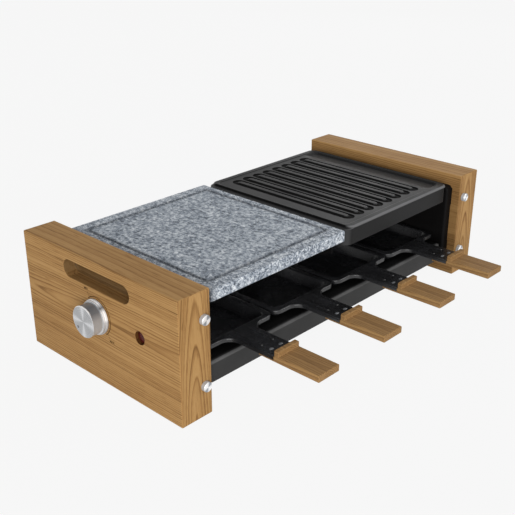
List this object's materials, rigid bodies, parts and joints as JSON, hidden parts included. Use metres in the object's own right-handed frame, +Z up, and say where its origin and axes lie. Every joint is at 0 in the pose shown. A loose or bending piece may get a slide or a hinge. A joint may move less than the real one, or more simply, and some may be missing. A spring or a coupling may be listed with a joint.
{
  "type": "raclette grill",
  "caption": "Tabletop raclette grill with wooden side panels, a stone plate, a ribbed plate with a grease channel, and sliding pans on wooden grips.",
  "frame": {"origin": "on the table, in the middle of the outer box of the whole grill", "axes": "+Z up, X along the grill from the control panel (-X) to the plain panel (+X), -Y towards the side the picture shows"},
  "size_m": [0.513, 0.4134, 0.13],
  "materials": {
    "panel_wood": "satin",
    "grip_wood": "matte",
    "black_steel": "satin",
    "base_steel": "satin",
    "rail_steel": "satin",
    "element_steel": "satin",
    "cap_steel": "polished",
    "knob_aluminium": "satin",
    "shaft_steel": "satin",
    "stone_grey": "matte",
    "cast_coating": "satin",
    "pan_coating": "satin",
    "lens_red": "gloss",
    "control_plastic": "matte",
    "gland_plastic": "matte"
  },
  "bodies": {
    "housing": {"left_panel": "panel_wood", "right_panel": "panel_wood", "left_end_plate": "black_steel", "right_end_plate": "black_steel", "base_tray": "base_steel", "rail_front": "rail_steel", "rail_back": "rail_steel", "crossbar": "black_steel", "element_hanger": "black_steel", "heating_element": "element_steel", "thermostat": "control_plastic", "lamp_holder": "control_plastic", "indicator_lens": "lens_red", "cord_gland": "gland_plastic", "cap_screw_left_front_low": "cap_steel", "cap_screw_left_front_high": "cap_steel", "cap_screw_left_back_low": "cap_steel", "cap_screw_left_back_high": "cap_steel", "cap_screw_right_front_low": "cap_steel", "cap_screw_right_front_high": "cap_steel", "cap_screw_right_back_low": "cap_steel", "cap_screw_right_back_high": "cap_steel"},
    "stone": {"stone_plate": "stone_grey"},
    "ribbed_plate": {"grill_plate": "cast_coating"},
    "knob": {"control_knob": "knob_aluminium", "control_shaft": "shaft_steel"},
    "front_pan_1": {"pan_front_1": "pan_coating", "pan_front_1_grip": "grip_wood"},
    "front_pan_2": {"pan_front_2": "pan_coating", "pan_front_2_grip": "grip_wood"},
    "front_pan_3": {"pan_front_3": "pan_coating", "pan_front_3_grip": "grip_wood"},
    "front_pan_4": {"pan_front_4": "pan_coating", "pan_front_4_grip": "grip_wood"},
    "back_pan_1": {"pan_back_1": "pan_coating", "pan_back_1_grip": "grip_wood"},
    "back_pan_2": {"pan_back_2": "pan_coating", "pan_back_2_grip": "grip_wood"},
    "back_pan_3": {"pan_back_3": "pan_coating", "pan_back_3_grip": "grip_wood"},
    "back_pan_4": {"pan_back_4": "pan_coating", "pan_back_4_grip": "grip_wood"}
  },
  "joints": [
    {"name": "stone_lift", "type": "slide", "parent": "housing", "child": "stone", "axis": [0, 0, 1], "range_m": [0, 0.06]},
    {"name": "ribbed_plate_lift", "type": "slide", "parent": "housing", "child": "ribbed_plate", "axis": [0, 0, 1], "range_m": [0, 0.06]},
    {"name": "knob_turn", "type": "hinge", "parent": "housing", "child": "knob", "pos_m": [-0.2395, 0, 0.0735], "axis": [1, 0, 0], "range_deg": [0, 267]},
    {"name": "front_pan_1_slide", "type": "slide", "parent": "housing", "child": "front_pan_1", "axis": [0, -1, 0], "range_m": [0, 0.13]},
    {"name": "front_pan_2_slide", "type": "slide", "parent": "housing", "child": "front_pan_2", "axis": [0, -1, 0], "range_m": [0, 0.13]},
    {"name": "front_pan_3_slide", "type": "slide", "parent": "housing", "child": "front_pan_3", "axis": [0, -1, 0], "range_m": [0, 0.13]},
    {"name": "front_pan_4_slide", "type": "slide", "parent": "housing", "child": "front_pan_4", "axis": [0, -1, 0], "range_m": [0, 0.13]},
    {"name": "back_pan_1_slide", "type": "slide", "parent": "housing", "child": "back_pan_1", "axis": [0, 1, 0], "range_m": [0, 0.13]},
    {"name": "back_pan_2_slide", "type": "slide", "parent": "housing", "child": "back_pan_2", "axis": [0, 1, 0], "range_m": [0, 0.13]},
    {"name": "back_pan_3_slide", "type": "slide", "parent": "housing", "child": "back_pan_3", "axis": [0, 1, 0], "range_m": [0, 0.13]},
    {"name": "back_pan_4_slide", "type": "slide", "parent": "housing", "child": "back_pan_4", "axis": [0, 1, 0], "range_m": [0, 0.13]}
  ]
}
